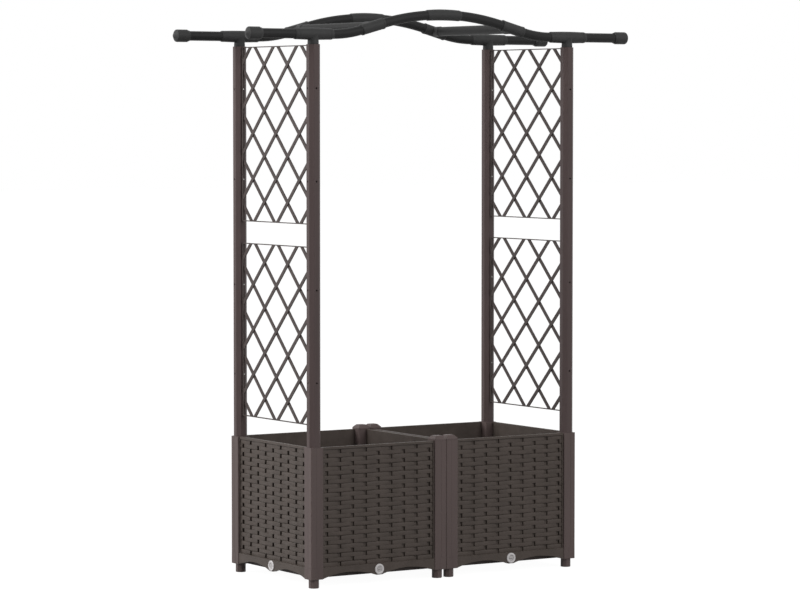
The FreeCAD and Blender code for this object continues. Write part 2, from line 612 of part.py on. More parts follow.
# Bend: a tube from the stop in a left-hand tee, level at first and then bent up to the elbow
def bend():
    bars = []
    for name, dia, spare in (("outer", "tube_dia", "0"), ("inner", TUBE_BORE, "1")):
        level = rod(f"bend_level_{name}", dia, f"{TEE_GRIP} + {spare}",
                    (f"-{TEE_GRIP} - {spare}", "0", "0"), TO_X)
        curve = bent_bar(f"bend_curve_{name}", "bend_radius", dia, "bend_angle",
                         ("0", "0", "bend_radius"), -90)
        slope = tilted(rod(f"bend_slope_{name}", dia, f"{ELBOW_GRIP} + {spare}"),
                       ("bend_radius * sin(bend_angle)", "0", "bend_radius * (1 - cos(bend_angle))"),
                       "90 - bend_angle")
        bars.append(fuse(f"bend_{name}", level, curve, slope))
    return place(cut("bend", *bars), (f"-{BEND_X}", "0", TEE_Z))


# Elbow: a straight sleeve on the slope, ringed at both ends, with a boss on its inner side for the
# cross bar. It is built level about its own middle and then tilted.
def elbow():
    half = "(elbow_length / 2)"
    solid = fuse("elbow_solid",
                 rod("elbow_sleeve", "elbow_dia", "elbow_length", (f"-{half}", "0", "0"), TO_X),
                 rod("elbow_ring_low", "elbow_dia + ring_rise * 2", "ring_width",
                     (f"-{half}", "0", "0"), TO_X),
                 rod("elbow_ring_high", "elbow_dia + ring_rise * 2", "ring_width",
                     (f"{half} - ring_width", "0", "0"), TO_X),
                 rod("elbow_boss", "boss_dia", "boss_reach", ORIGIN, TO_Y))
    bores = [rod("elbow_bore_low", SOCKET, ELBOW_GRIP, (f"-{half}", "0", "0"), TO_X),
             rod("elbow_bore_high", SOCKET, ELBOW_GRIP, ("stop_width / 2", "0", "0"), TO_X),
             rod("elbow_bore_side", SOCKET, "boss_reach - boss_floor + 1",
                 ("0", "boss_floor", "0"), TO_Y)]
    return tilted(cut("elbow", solid, *bores), (f"-{ELBOW_X}", "0", ELBOW_Z), "-bend_angle")


# Crown: a tube from the stop in a left-hand elbow, straight at first and then bent over to the top
def crown():
    centre = ("0", "0", f"{CROWN_Z} - {CROWN_R}")
    shy = f"({ELBOW_GRIP} + stop_width / 2)"
    bars = []
    for name, dia, spare in (("outer", "tube_dia", "0"), ("inner", TUBE_BORE, "1")):
        start = f"(stop_width / 2 - {spare})"
        slope = tilted(rod(f"crown_slope_{name}", dia, f"{shy} - {start}"),
                       (f"-{ELBOW_X} + {start} * cos(bend_angle)", "0",
                        f"{ELBOW_Z} + {start} * sin(bend_angle)"), "90 - bend_angle")
        curve = bent_bar(f"crown_curve_{name}", CROWN_R, dia, "bend_angle", centre, 90)
        bars.append(fuse(f"crown_{name}", slope, curve))
    gap = block("crown_gap_cut", ("-crown_gap / 2", "tube_dia"), ("-tube_dia", "tube_dia"),
                (f"{CROWN_Z} - tube_dia", f"{CROWN_Z} + tube_dia"))
    return cut("crown", bars[0], bars[1], gap)


# Apex: a sleeve bent with the arch over the ends of its two crown tubes. It is built about the
# middle of the bend, from the top to the left, and then turned back by half its sweep.
def apex():
    half_sweep = f"asin(apex_length / 2 / {CROWN_R})"
    sleeve = bent_bar("apex_outer", CROWN_R, "apex_dia", f"2 * {half_sweep}", ORIGIN, 90)
    hole = bent_bar("apex_inner", CROWN_R, SOCKET, f"2 * {half_sweep} + 1 deg", ORIGIN, 90)
    return tilted(cut("apex", sleeve, hole), ("0", "0", f"{CROWN_Z} - {CROWN_R}"), half_sweep)


def make_boxes():
    post, peg, lid = corner_post(), foot(), corner_cap()
    panel, basin, grid = woven_panel(), tray(), soil_floor()
    spout, plug = outlet(), stopper()
    lids, spouts = [], []
    for box, middle in BOXES:
        at = (middle, "0", "0")
        feet = []
        for corner, angle in CORNERS:
            name = f"{box}_box_{corner}"
            subpart(copied(f"{name}_post", post, at, angle), f"{name}_corner_post")
            feet.append(copied(f"{name}_foot", peg, at, angle))
            if not corner.endswith(box):
                lids.append(copied(f"{name}_lid", lid, at, angle))
        subpart(group(f"{box}_feet", feet), f"{box}_box_feet")
        for side, angle in SIDES:
            name = f"{box}_box_{side}"
            subpart(copied(f"{name}_wall", panel, at, angle), f"{name}_panel")
            if side in ("front", "back", box):
                spouts.append(copied(f"{name}_spout", spout, at, angle))
                subpart(copied(f"{name}_plug", plug, at, angle), f"{name}_stopper")
        subpart(copied(f"{box}_basin", basin, at), f"{box}_box_tray")
        subpart(copied(f"{box}_grid", grid, at), f"{box}_box_soil_floor")
    subpart(group("lids", lids), "corner_caps")
    subpart(group("spouts", spouts), "drain_outlets")
    subpart(copied("tray_link", link_tube()), "tray_link_tube")


def make_ends():
    post = tall_post()
    far_post = mirrored("tall_post_mirrored", post, (0, 1, 0))
    screws = group("screws", [screw(f"screw_{number}", level)
                              for number, level in enumerate(SCREW_LEVELS, start=1)])
    far_screws = mirrored("screws_mirrored", screws, (0, 1, 0))
    sets = []
    for corner, post_shape, screw_shape, angle in (("front_left", post, screws, 0),
                                                   ("back_left", far_post, far_screws, 0),
                                                   ("front_right", far_post, far_screws, HALF_TURN),
                                                   ("back_right", post, screws, HALF_TURN)):
        subpart(copied(f"{corner}_tall", post_shape, ORIGIN, angle), f"{corner}_tall_post")
        sets.append(copied(f"{corner}_screws", screw_shape, ORIGIN, angle))
    subpart(group("screw_sets", sets), "lattice_screws")
    net = lattice()
    for side, x in (("left", f"-{POST_X}"), ("right", POST_X)):
        for level, z in (("lower", LOWER), ("upper", UPPER)):
            subpart(copied(f"{side}_{level}_net", net, (x, "0", z)), f"{side}_{level}_lattice")


def make_arches():
    joint, tube, lid, curve, top, ridge = tee(), arm(), end_cap(), bend(), crown(), apex()
    knee = elbow()
    far_knee = mirrored("elbow_mirrored", knee, (0, 1, 0))
    for arch, y, knees in (("front", f"-{AXIS}", (knee, far_knee)),
                           ("back", AXIS, (far_knee, knee))):
        at = ("0", y, "0")
        for side, x in (("left", f"-{POST_X}"), ("right", POST_X)):
            subpart(copied(f"{arch}_{side}_joint", joint, (x, y, "0")), f"{arch}_{side}_tee")
        for side, shape, angle in (("left", knees[0], 0), ("right", knees[1], HALF_TURN)):
            subpart(copied(f"{arch}_{side}_knee", shape, at, angle), f"{arch}_{side}_elbow")
        for name, shape in (("arm_tubes", tube), ("end_caps", lid), ("bend_tubes", curve),
                            ("crown_tubes", top)):
            pair = [copied(f"{arch}_{name}_{angle}", shape, at, angle) for angle in (0, HALF_TURN)]
            subpart(group(f"{arch}_{name}_pair", pair), f"{arch}_{name}")
        subpart(copied(f"{arch}_ridge", ridge, at), f"{arch}_apex_sleeve")
    bar_start = f"(-{AXIS} + boss_floor)"
    for side, x in (("left", f"-{ELBOW_X}"), ("right", ELBOW_X)):
        outer = rod(f"{side}_bar_outer", "tube_dia", f"-2 * {bar_start}", (x, bar_start, ELBOW_Z),
                    TO_Y)
        inner = rod(f"{side}_bar_inner", TUBE_BORE, f"-2 * {bar_start} + 2",
                    (x, f"{bar_start} - 1", ELBOW_Z), TO_Y)
        subpart(cut(f"{side}_bar", outer, inner), f"{side}_cross_bar")


def check_and_export():
    """Stop on anything that failed, then write one file for each sub-part."""
    for item in doc.Objects:
        if "Invalid" in item.State or "Error" in item.State:
            raise RuntimeError(f"{item.Name} failed: {item.State}")
    labels = [item.Label for item in nodes]
    if len(set(labels)) != len(labels):
        raise RuntimeError("two sub-parts share a label")
    os.makedirs("parts", exist_ok=True)
    for item in nodes:
        shape = item.Shape
        if shape.isNull() or not shape.isValid() or not shape.Solids:
            raise RuntimeError(f"{item.Label} has no valid solid")
        shape.exportStep(os.path.join("parts", f"{item.Label}.step"))
    print(f"{len(nodes)} sub-parts, {sum(len(item.Shape.Solids) for item in nodes)} solids")


make_boxes()
make_ends()
make_arches()
doc.recompute()
check_and_export()
whole = Part.makeCompound([item.Shape for item in nodes]).BoundBox
print(f"overall {whole.XLength:.1f} x {whole.YLength:.1f} x {whole.ZLength:.1f} mm,"
      f" lowest {whole.ZMin:.2f}")
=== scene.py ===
import json
import math

import bmesh
import bpy
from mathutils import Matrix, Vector


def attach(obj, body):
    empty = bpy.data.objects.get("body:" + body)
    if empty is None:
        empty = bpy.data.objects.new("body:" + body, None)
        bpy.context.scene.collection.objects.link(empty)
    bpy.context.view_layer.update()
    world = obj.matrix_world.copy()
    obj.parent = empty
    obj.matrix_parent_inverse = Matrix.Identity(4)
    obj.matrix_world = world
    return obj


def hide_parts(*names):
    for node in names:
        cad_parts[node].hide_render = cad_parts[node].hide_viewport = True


# A floor planter with trellis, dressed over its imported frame. Sizes in the dictionaries are in
# millimetres, in the frame's own axes: +X along the front, +Y to the back, +Z up, and the origin
# on the floor under the middle.

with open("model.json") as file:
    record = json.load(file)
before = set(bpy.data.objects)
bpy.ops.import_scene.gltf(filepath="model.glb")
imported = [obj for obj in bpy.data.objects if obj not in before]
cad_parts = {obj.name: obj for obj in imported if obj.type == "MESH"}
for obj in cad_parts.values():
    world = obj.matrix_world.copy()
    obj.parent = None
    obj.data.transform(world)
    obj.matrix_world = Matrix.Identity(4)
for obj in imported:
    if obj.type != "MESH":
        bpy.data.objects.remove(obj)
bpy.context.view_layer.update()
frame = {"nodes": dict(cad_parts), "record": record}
nodes = frame["nodes"]
slotOf = {row["node"]: row["material_slot"] for row in frame["record"]["subparts"]}
mm = 0.001
weld = 0.00001  # corners nearer than this, in metres, are one
print("frame loaded:", len(nodes), "nodes")

boxes = {"left": -200, "right": 200}  # middle of each box
sides = {"front": 0, "right": 90, "back": 180, "left": 270}  # turn about it
cornerSpot = 182.5  # from the middle of a box to the middle of its corner posts
arches = {"front": -cornerSpot, "back": cornerSpot}  # depth of each arch and its tall posts
ends = {"left": boxes["left"] - cornerSpot, "right": boxes["right"] + cornerSpot}


def srgb(tone):  # a picture colour as the shader wants it
    parts = [value / 255 for value in tone]
    return tuple(v / 12.92 if v <= 0.04045 else ((v + 0.055) / 1.055) ** 2.4 for v in parts)


def addNode(owner, kind, **settings):  # a shader node with its inputs or its own settings
    node = owner.node_tree.nodes.new("ShaderNode" + kind)
    for name, value in settings.items():
        if name in node.inputs:
            node.inputs[name].default_value = value
        else:
            setattr(node, name, value)
    return node


def join(owner, source, output, target, socket):
    owner.node_tree.links.new(source.outputs[output], target.inputs[socket])


def mouldedPlastic(name, look):  # soft clouds in tone and gloss, with a fine grain
    material = bpy.data.materials.new(name)
    material.use_nodes = True
    surface = material.node_tree.nodes["Principled BSDF"]
    surface.inputs["Specular IOR Level"].default_value = look["specular"]
    surface.inputs["Metallic"].default_value = look.get("metal", 0)
    place = addNode(material, "TexCoord")
    stretch = addNode(material, "Mapping", Scale=look["stretch"])
    join(material, place, "Object", stretch, "Vector")
    clouds = addNode(material, "TexNoise", Scale=look["cloudScale"], Detail=3.0)
    join(material, stretch, "Vector", clouds, "Vector")
    tones = addNode(material, "ValToRGB")
    for element, position, key in zip(tones.color_ramp.elements, (0.3, 0.7), ("dark", "light")):
        element.position = position
        element.color = (*srgb(look[key]), 1)
    join(material, clouds, "Fac", tones, "Fac")
    join(material, tones, "Color", surface, "Base Color")
    gloss = addNode(material, "MapRange")
    gloss.inputs["To Min"].default_value = look["roughness"] - look["glossSpread"]
    gloss.inputs["To Max"].default_value = look["roughness"] + look["glossSpread"]
    join(material, clouds, "Fac", gloss, "Value")
    join(material, gloss, "Result", surface, "Roughness")
    grain = addNode(material, "TexNoise", Scale=look["grainScale"], Detail=2.0)
    join(material, place, "Object", grain, "Vector")
    bump = addNode(material, "Bump", Strength=look["grain"], Distance=0.3 * mm)
    join(material, grain, "Fac", bump, "Height")
    if "ribScale" in look:  # fine ribs along the strands
        ribs = addNode(material, "TexWave", Scale=look["ribScale"], Distortion=1.5,
                       bands_direction="Z")
        join(material, place, "Object", ribs, "Vector")
        ribBump = addNode(material, "Bump", Strength=look["ribs"], Distance=0.4 * mm)
        join(material, ribs, "Fac", ribBump, "Height")
        join(material, ribBump, "Normal", bump, "Normal")
    join(material, bump, "Normal", surface, "Normal")
    return material


finishLooks = {
    "woven_brown": dict(light=(84, 75, 70), dark=(73, 65, 60), roughness=0.55, specular=0.2,
                        stretch=(1, 1, 1), cloudScale=30, glossSpread=0.06, grainScale=900,
                        grain=0.25, ribScale=120, ribs=0.35),
    "corner_brown": dict(light=(97, 84, 82), dark=(89, 77, 75), roughness=0.5, specular=0.22,
                         stretch=(1, 1, 0.1), cloudScale=25, glossSpread=0.05, grainScale=900,
                         grain=0.25),
    "post_brown": dict(light=(87, 74, 73), dark=(79, 67, 66), roughness=0.5, specular=0.2,
                       stretch=(1, 1, 0.05), cloudScale=40, glossSpread=0.05, grainScale=900,
                       grain=0.25),
    "lattice_brown": dict(light=(78, 69, 67), dark=(70, 62, 60), roughness=0.55, specular=0.2,
                          stretch=(1, 1, 1), cloudScale=40, glossSpread=0.05, grainScale=900,
                          grain=0.25),
    "tray_brown": dict(light=(64, 56, 54), dark=(56, 48, 46), roughness=0.6, specular=0.2,
                       stretch=(1, 1, 1), cloudScale=20, glossSpread=0.05, grainScale=700,
                       grain=0.3),
    "fitting_black": dict(light=(60, 60, 60), dark=(53, 53, 53), roughness=0.55, specular=0.18,
                          stretch=(1, 1, 1), cloudScale=60, glossSpread=0.06, grainScale=1200,
                          grain=0.35),
    "tube_black": dict(light=(38, 38, 38), dark=(31, 31, 31), roughness=0.5, specular=0.15,
                       stretch=(0.1, 1, 1), cloudScale=80, glossSpread=0.06, grainScale=1200,
                       grain=0.25),
    "outlet_grey": dict(light=(228, 224, 224), dark=(218, 214, 214), roughness=0.4, specular=0.5,
                        stretch=(1, 1, 1), cloudScale=120, glossSpread=0.05, grainScale=1200,
                        grain=0.15),
    "stopper_grey": dict(light=(208, 204, 203), dark=(168, 164, 164), roughness=0.5, specular=0.5,
                         stretch=(1, 1, 1), cloudScale=250, glossSpread=0.05, grainScale=1200,
                         grain=0.3),
    "screw_steel": dict(light=(180, 180, 178), dark=(160, 160, 158), roughness=0.35, specular=0.5,
                        metal=1.0, stretch=(1, 1, 1), cloudScale=200, glossSpread=0.1,
                        grainScale=1500, grain=0.2),
}
finishes = {name: mouldedPlastic(name, look) for name, look in finishLooks.items()}
for name, node in nodes.items():
    node.data.materials.clear()
    node.data.materials.append(finishes[slotOf[name]])
print("finishes mixed:", len(finishes))


def pick(*items):  # these alone are selected, the first one active
    bpy.ops.object.select_all(action="DESELECT")
    for item in items:
        item.select_set(True)
    bpy.context.view_layer.objects.active = items[0]


def settle(piece):  # put its place, turn and scale into its mesh
    pick(piece)
    bpy.ops.object.transform_apply(location=True, rotation=True, scale=True)


def choose(kind, test):  # in edit mode: only what passes the test
    bpy.ops.mesh.select_mode(type=kind)
    bpy.ops.mesh.select_all(action="DESELECT")
    data = bpy.context.edit_object.data
    mesh = bmesh.from_edit_mesh(data)
    for item in {"VERT": mesh.verts, "EDGE": mesh.edges, "FACE": mesh.faces}[kind]:
        if test(item):
            item.select_set(True)
    bmesh.update_edit_mesh(data)


def applyAll(piece):
    pick(piece)
    for modifier in list(piece.modifiers):
        bpy.ops.object.modifier_apply(modifier=modifier.name)


def soften(piece, width, segments=2, angle=30):  # round the hard edges a little
    bevel = piece.modifiers.new("edges", "BEVEL")
    bevel.width = width * mm
    bevel.segments = segments
    bevel.limit_method = "ANGLE"
    bevel.angle_limit = math.radians(angle)
    applyAll(piece)


def shadeSmooth(piece, angle=35):
    pick(piece)
    bpy.ops.object.shade_smooth_by_angle(angle=math.radians(angle))
    evenly = piece.modifiers.new("evenly", "WEIGHTED_NORMAL")  # broad faces stay flat
    evenly.keep_sharp = True
    applyAll(piece)


def cleanUp(piece):  # merge doubles and turn every face outwards
    pick(piece)
    bpy.ops.object.mode_set(mode="EDIT")
    bpy.ops.mesh.select_all(action="SELECT")
    bpy.ops.mesh.remove_doubles(threshold=weld)
    bpy.ops.mesh.normals_make_consistent(inside=False)
    bpy.ops.object.mode_set(mode="OBJECT")


def copyOf(piece, name):
    pick(piece)
    bpy.ops.object.duplicate()
    twin = bpy.context.object
    twin.name = name
    return twin


def merged(name, *pieces):
    pick(*pieces)
    bpy.ops.object.join()
    whole = bpy.context.object
    whole.name = name
    return whole


def drop(*pieces):
    for piece in pieces:
        bpy.data.objects.remove(piece)


def slabOf(name, x, y, z):  # a cube between its bounds
    bpy.ops.object.select_all(action="DESELECT")
    middle = [(low + high) / 2 * mm for low, high in (x, y, z)]
    bpy.ops.mesh.primitive_cube_add(size=1, location=middle)
    slab = bpy.context.object
    slab.name = name
    slab.scale = [(high - low) * mm for low, high in (x, y, z)]
    settle(slab)
    return slab


def turned(name, profile, start, along, segments=48):
    # a ring at the start, extruded and resized from station to station; both ends are filled
    start = Vector(start) * mm
    along = Vector(along)
    distance, radius = profile[0]
    bpy.ops.object.select_all(action="DESELECT")
    bpy.ops.mesh.primitive_circle_add(vertices=segments, radius=radius * mm,
                                      location=start + along * distance * mm,
                                      rotation=along.to_track_quat("Z", "Y").to_euler())
    piece = bpy.context.object
    piece.name = name
    settle(piece)
    bpy.ops.object.mode_set(mode="EDIT")
    bpy.ops.mesh.select_all(action="SELECT")
    bpy.ops.mesh.edge_face_add()
    choose("EDGE", lambda edge: True)
    for further, wider in profile[1:]:
        step = along * (further - distance) * mm
        bpy.ops.mesh.extrude_edges_move(TRANSFORM_OT_translate={"value": step})
        bpy.ops.transform.resize(value=(wider / radius,) * 3,
                                 center_override=start + along * further * mm)
        distance, radius = further, wider
    bpy.ops.mesh.edge_face_add()
    bpy.ops.object.mode_set(mode="OBJECT")
    cleanUp(piece)
    return piece


def fit(piece, body, slot, *replaced):  # finish, body and slot of a piece, and what it replaces
    piece.data.materials.clear()
    piece.data.materials.append(finishes[slot])
    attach(piece, body)
    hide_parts(*replaced)


def dressed(node, name):  # a welded copy of a node with its flat faces made whole
    piece = copyOf(nodes[node], name)
    bpy.ops.object.mode_set(mode="EDIT")
    bpy.ops.mesh.select_all(action="SELECT")
    bpy.ops.mesh.remove_doubles(threshold=weld)
    bpy.ops.mesh.dissolve_limited(angle_limit=math.radians(0.5))
    bpy.ops.object.mode_set(mode="OBJECT")
    return piece


# the woven panel is modelled at the front of a box about its own middle, then copied and turned
weave = dict(
    face=-200, half=164.8, rail=3, low=22.4, apronTop=51.5, railLow=345, high=351,
    railFace=4.5, apronFace=2, recessFloor=12.3, back=13, rows=27, stakes=9, stakeSpan=302,
    proud=dict(crest=6.0, gap=8.5), setBack=dict(crest=6.7, gap=9.5),  # the two kinds of row
    across=((0.0, 2.2), (0.5, 0.9), (1.7, 0.3), (5.0, 0.0), (9.8, 0.1), (10.87, 0.35)),
    ends=((0.0, 5.2), (0.3, 2.4), (1.0, 1.7), (5.0, 1.4), (14.0, 1.1), (24.0, 0.6), (29.0, 0.15),
          (32.0, 0.0)),
    overlap=0.5, edge=0.6, fineEdge=0.3,  # strands under the rails, and roundings
    ledge=dict(half=149.8, reach=6, low=47.4, high=49.8),
    tongue=dict(near=5.6, far=8, out=3, root=1, low=26.4, drop=0.3),
    scallop=dict(span=158, rise=13.4, offset=87, steps=160),
    outletHole=dict(height=36.7, dia=20, steps=40), cut=dict(before=5, length=30),
)


def strand(name, low, high, roundLow, roundHigh, crest, deepBelow):
    # a grid facing the front, its rows and columns moved one by one to the strand's swell
    # (each is moved past the ones still waiting, and the whole is moved back at the end)
    swell, across, away = weave["ends"], weave["across"], 10
    columns, rows = 2 * len(swell) - 1, len(across) - 1
    bpy.ops.object.select_all(action="DESELECT")
    bpy.ops.mesh.primitive_grid_add(x_subdivisions=columns, y_subdivisions=rows, size=1,
                                    rotation=(math.pi / 2, 0, 0))
    piece = bpy.context.object
    piece.name = name
    settle(piece)
    bpy.ops.object.mode_set(mode="EDIT")
    reach = (high - low) / 2 / swell[-1][0]
    shrink = min(1, reach * 0.9)  # keeps the two ends of a short strand apart
    spots = [(low + inset * shrink, depth if roundLow else 0) for inset, depth in swell]
    for inset, depth in reversed(swell):
        spots.append((high - inset * shrink, depth if roundHigh else 0))
    for number, (spot, depth) in enumerate(spots):
        now = number / columns - 0.5
        choose("VERT", lambda vert: abs(vert.co.x - now) < 0.01)
        bpy.ops.transform.translate(value=(spot * mm + away - now, depth * mm, 0))
    for number, (height, depth) in enumerate(across):
        now = number / rows - 0.5
        height = height if deepBelow else across[-1][0] - height
        choose("VERT", lambda vert: abs(vert.co.z - now) < 0.01)
        bpy.ops.transform.translate(value=(0, depth * mm, height * mm + away - now))
    bpy.ops.mesh.select_all(action="SELECT")
    bpy.ops.transform.translate(value=(-away, (weave["face"] + crest) * mm, -away))
    if not deepBelow:
        bpy.ops.mesh.flip_normals()
    bpy.ops.object.mode_set(mode="OBJECT")
    return piece


def wovenRows(name, startRow, count, gapStakes, kind, deepBelow):
    pitch = weave["stakeSpan"] / (weave["stakes"] - 1)
    gaps = [(stake - (weave["stakes"] - 1) / 2) * pitch for stake in gapStakes]
    clear = weave["half"] - weave["rail"] + weave["overlap"]
    crest, gap = kind["crest"], kind["gap"] / 2
    rowPitch = (weave["railLow"] - weave["apronTop"]) / weave["rows"]
    full = strand(name, gaps[0] + gap, gaps[1] - gap, True, True, crest, deepBelow)
    strands = [full, strand(name, -clear, gaps[0] - gap, False, True, crest, deepBelow),
               strand(name, gaps[-1] + gap, clear, True, False, crest, deepBelow)]
    for place in gaps[1:-1]:
        twin = copyOf(full, name)
        twin.location.x = (place - gaps[0]) * mm
        settle(twin)
        strands.append(twin)
    row = merged(name, *strands)
    row.location.z = (weave["apronTop"] + startRow * rowPitch) * mm
    settle(row)
    stack = row.modifiers.new("rows", "ARRAY")
    stack.count = count
    stack.use_relative_offset = False
    stack.use_constant_offset = True
    stack.constant_offset_displace = (0, 0, 2 * rowPitch * mm)
    applyAll(row)
    return row


def panelFrame():
    w, y = weave, weave["face"]
    panel = slabOf("panelFrame", (-w["half"], w["half"]), (y + w["railFace"], y + w["back"]),
                   (w["low"], w["high"]))
    pick(panel)
    bpy.ops.object.mode_set(mode="EDIT")
    edge = w["half"] - w["rail"]
    for point, normal in (((-edge, 0, 0), (1, 0, 0)), ((edge, 0, 0), (1, 0, 0)),
                          ((0, 0, w["apronTop"]), (0, 0, 1)), ((0, 0, w["railLow"]), (0, 0, 1))):
        bpy.ops.mesh.select_all(action="SELECT")
        bpy.ops.mesh.bisect(plane_co=Vector(point) * mm, plane_no=normal)
    woven = Vector((0, y + w["railFace"], (w["apronTop"] + w["railLow"]) / 2)) * mm
    choose("FACE", lambda face: face.normal.y < -0.9
           and (face.calc_center_median() - woven).length < 0.001)
    inward = (w["recessFloor"] - w["railFace"]) * mm
    bpy.ops.mesh.extrude_region_move(TRANSFORM_OT_translate={"value": (0, inward, 0)})
    choose("FACE", lambda face: face.normal.y < -0.9
           and face.calc_center_median().z < w["apronTop"] * mm)
    outward = (w["apronFace"] - w["railFace"]) * mm
    bpy.ops.mesh.extrude_region_move(TRANSFORM_OT_translate={"value": (0, outward, 0)})
    bpy.ops.mesh.select_all(action="SELECT")
    bpy.ops.mesh.normals_make_consistent(inside=False)
    bpy.ops.object.mode_set(mode="OBJECT")

    scallop, hole, cut = w["scallop"], w["outletHole"], w["cut"]
    radius = (scallop["span"] ** 2 / 4 + scallop["rise"] ** 2) / (2 * scallop["rise"])
    level = w["low"] + scallop["rise"] - radius
    cutters = [(-scallop["offset"], level, radius, scallop["steps"]),
               (scallop["offset"], level, radius, scallop["steps"]),
               (0, hole["height"], hole["dia"] / 2, hole["steps"])]
    tools = []
    for x, z, radius, steps in cutters:
        tools.append(turned("cutter", ((0, radius), (cut["length"], radius)),
                            (x, y - cut["before"], z), (0, 1, 0), steps))
        bite = panel.modifiers.new("bite", "BOOLEAN")
        bite.object = tools[-1]
        bite.solver = "EXACT"
    applyAll(panel)
    drop(*tools)
    soften(panel, w["edge"])
    ledge, tongue = w["ledge"], w["tongue"]
    extras = [slabOf("ledge", (-ledge["half"], ledge["half"]),
                     (y + w["back"] - w["overlap"], y + w["back"] + ledge["reach"]),
                     (ledge["low"], ledge["high"]))]
    root, tip = w["half"] - tongue["root"], w["half"] + tongue["out"]
    for near, far in ((-tip, -root), (root, tip)):
        extras.append(slabOf("tongue", (near, far), (y + tongue["near"], y + tongue["far"]),
                             (tongue["low"], w["high"] - tongue["drop"])))
    for extra in extras:
        soften(extra, w["fineEdge"], 1)
    return merged("panelFrame", panel, *extras)


oddStakes = [1, 3, 5, 7]
evenStakes = [0, 2, 4, 6, 8]
panelModel = merged(
    "panelModel", panelFrame(),
    wovenRows("setBackRows", 0, 14, oddStakes, weave["setBack"], False),
    wovenRows("proudRows", 1, 13, evenStakes, weave["proud"], True))
shadeSmooth(panelModel, 50)
for boxSide, middle in boxes.items():
    for side, turn in sides.items():
        panel = copyOf(panelModel, f"{boxSide}{side.capitalize()}WovenPanel")
        panel.rotation_euler.z = math.radians(turn)
        panel.location.x = middle * mm
        settle(panel)
        fit(panel, "frame", "woven_brown", f"{boxSide}_box_{side}_panel")
drop(panelModel)
print("woven panels:", len(boxes) * len(sides))

# posts, feet and caps are the frame's own solids with their edges rounded
postEdges = dict(corner=0.5, tall=1.2, cap=0.6, foot=0.8)
outerEdges = dict(corner=dict(shortest=250, reach=20, side=12),
                  tall=dict(shortest=1000, reach=16, side=3))


def bevelEdges(piece, width, test, segments=3):
    pick(piece)
    bpy.ops.object.mode_set(mode="EDIT")
    choose("EDGE", test)
    bpy.ops.mesh.bevel(offset=width * mm, segments=segments, affect="EDGES", clamp_overlap=True)
    bpy.ops.object.mode_set(mode="OBJECT")


def uprightAbout(x, y, shortest, reach, side):
    # long upright edges more than side off an axis both ways, and more than reach away from it
    def test(edge):
        a, b = (vert.co for vert in edge.verts)
        off = abs(a.x - x * mm), abs(a.y - y * mm)
        return (abs(a.z - b.z) > shortest * mm and abs(a.x - b.x) < 1e-6
                and abs(a.y - b.y) < 1e-6 and min(off) > side * mm
                and math.hypot(*off) > reach * mm)
    return test


for boxSide, middle in boxes.items():
    for corner in ("front_left", "front_right", "back_right", "back_left"):
        node = f"{boxSide}_box_{corner}_corner_post"
        x = middle + (cornerSpot if corner.endswith("right") else -cornerSpot)
        y = cornerSpot if corner.startswith("back") else -cornerSpot
        piece = dressed(node, node.replace("_", "") + "Shell")
        bevelEdges(piece, postEdges["corner"], uprightAbout(x, y, **outerEdges["corner"]))
        shadeSmooth(piece)
        fit(piece, "frame", "corner_brown", node)
for node, width in (("corner_caps", postEdges["cap"]), ("left_box_feet", postEdges["foot"]),
                    ("right_box_feet", postEdges["foot"])):
    piece = dressed(node, node.replace("_", "") + "Soft")
    soften(piece, width)
    shadeSmooth(piece)
    fit(piece, "frame", "corner_brown", node)
for arch, y in arches.items():
    for side, x in ends.items():
        node = f"{arch}_{side}_tall_post"
        piece = dressed(node, f"{arch}{side.capitalize()}TallPost")
        bevelEdges(piece, postEdges["tall"], uprightAbout(x, y, **outerEdges["tall"]))
        shadeSmooth(piece, 40)
        fit(piece, "frame", "post_brown", node)
print("posts dressed")

latticeEdge = 0.5
for side in ends:
    for level in ("lower", "upper"):
        node = f"{side}_{level}_lattice"
        piece = dressed(node, f"{side}{level.capitalize()}Lattice")
        soften(piece, latticeEdge, 1)
        shadeSmooth(piece)
        fit(piece, "frame", "lattice_brown", node)
print("lattices dressed")

# profiles are pairs of a place along the axis and a radius there
tee = dict(level=1374.5, half=55, bore=12.2, stop=8, mouth=12.8, chamfer=4.2, ring=14.2,
           ringWidth=10.5, seam=0.35, seamWidth=0.9, sleeve=14.15, middle=14.9,
           bulgeHalf=44.5, bulgeAt=(-33, -22, -11, 0, 11, 22, 33),
           leg=((1309, 13.3), (1310, 13.4), (1349, 13.4), (1349, 13.6), (1349.8, 14.0),
                (1353, 14.0), (1358, 13.7), (1363, 13.9), (1368, 15.2), (1372, 16.0)))
elbow = dict(x=210.54, z=1394.37, half=34, bore=12.2, stop=6, mouth=13.0, chamfer=1.6, ring=14.35,
             ringWidth=6, seam=0.4, seamWidth=0.9, sleeve=13.85, tilt=15,
             boss=((0, 12.9), (26.5, 13.2), (30.8, 13.3), (32, 12.7), (32, 12.2), (14, 12.2)))
endCap = dict(mouth=530, profile=((34, 12.2), (0, 12.2), (0, 13.2), (0.5, 13.6), (3.5, 14.3),
                                  (5.6, 15.3), (6.4, 15.85), (34.6, 15.85), (36.0, 15.5),
                                  (37.4, 14.7), (43.6, 5.2), (44.6, 3.6), (45, 2.2)))
apex = dict(radius=686.59, top=1426.57, sweep=4.17, bore=12.2, mouth=12.7, ring=13.7,
            chamfer=0.22, bulge=0.35, halfSteps=6)
fittingEdge = dict(width=0.25, segments=1, angle=45)


